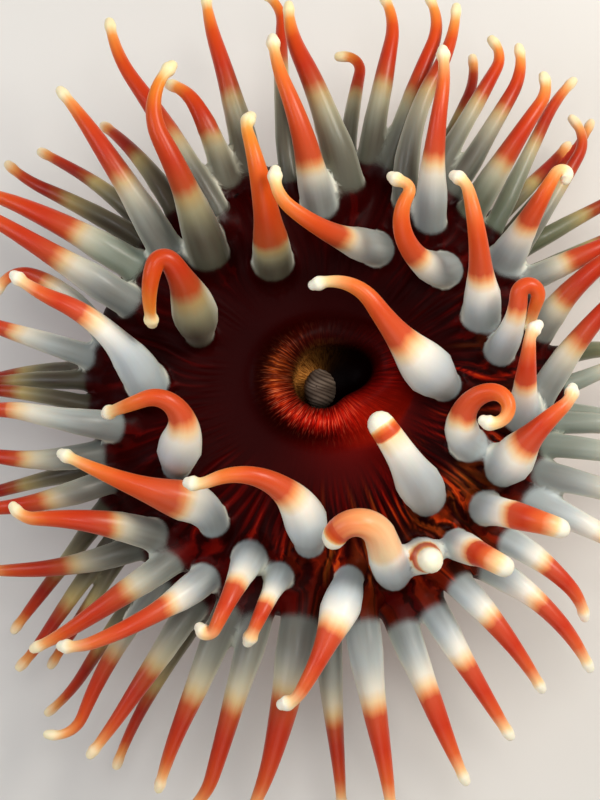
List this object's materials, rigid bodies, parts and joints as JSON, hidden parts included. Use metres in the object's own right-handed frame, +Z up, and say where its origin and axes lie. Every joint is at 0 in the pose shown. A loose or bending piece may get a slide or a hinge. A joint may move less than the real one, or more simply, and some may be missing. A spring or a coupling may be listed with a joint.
{
  "type": "sea anemone",
  "caption": "Life-size sea anemone: squat flared column on a flat foot, oral disc with ridged lips and open throat, crown of thick tapering tentacles that spread and droop at the rim",
  "frame": {"origin": "centre of the foot's flat underside, on the floor", "axes": "+Z up through the mouth, +Y away from the viewer towards the far side of the crown, +X to the right"},
  "size_m": [0.21, 0.2324, 0.0878],
  "materials": {
    "column": "soft wet crimson flesh, satin",
    "disc": "dark maroon flesh with fine radial ridges, satin",
    "lips": "ridged red flesh, wet",
    "throat": "ribbed golden-brown flesh, wet",
    "tentacle": "translucent flesh, grey base, red-orange limb and pale tip, satin",
    "margin": "translucent red flesh with pale tentacles, satin"
  },
  "bodies": {
    "root": {"foot": "column", "column_lower": "column", "column_upper": "column", "oral_disc": "disc", "throat": "throat", "throat_fold": "throat", "lip_left": "lips", "lip_near": "lips", "lip_right": "lips", "tentacle_02": "tentacle", "tentacle_03": "tentacle", "tentacle_11": "tentacle", "tentacle_12": "tentacle", "tentacle_14": "tentacle", "tentacle_19": "tentacle", "tentacle_26": "tentacle", "tentacle_36": "tentacle", "tentacle_40": "tentacle", "tentacle_42": "tentacle", "tentacle_43": "tentacle", "tentacle_44": "tentacle", "tentacle_61": "tentacle", "tentacle_65": "tentacle", "tentacle_68": "tentacle", "tentacle_69": "tentacle", "tentacle_70": "tentacle", "tentacle_81": "tentacle", "tentacle_82": "tentacle", "tentacle_83": "tentacle", "tentacle_84": "tentacle", "tentacle_31_root": "tentacle", "tentacle_31_limb": "tentacle", "tentacle_32_root": "tentacle", "tentacle_32_limb": "tentacle", "tentacle_33_root": "tentacle", "tentacle_33_limb": "tentacle", "tentacle_34_root": "tentacle", "tentacle_34_limb": "tentacle", "tentacle_35_root": "tentacle", "tentacle_35_limb": "tentacle", "tentacle_39_root": "tentacle", "tentacle_39_limb": "tentacle", "tentacle_41_root": "tentacle", "tentacle_41_limb": "tentacle", "tentacle_60_root": "tentacle", "tentacle_60_limb": "tentacle", "tentacle_93_root": "tentacle", "tentacle_93_limb": "tentacle", "margin_01": "margin", "margin_02": "margin", "margin_03": "margin", "margin_04": "margin", "margin_05": "margin", "margin_06": "margin", "margin_07": "margin", "margin_08": "margin", "margin_09": "margin", "margin_10": "margin", "margin_11": "margin", "margin_12": "margin"}
  },
  "joints": []
}
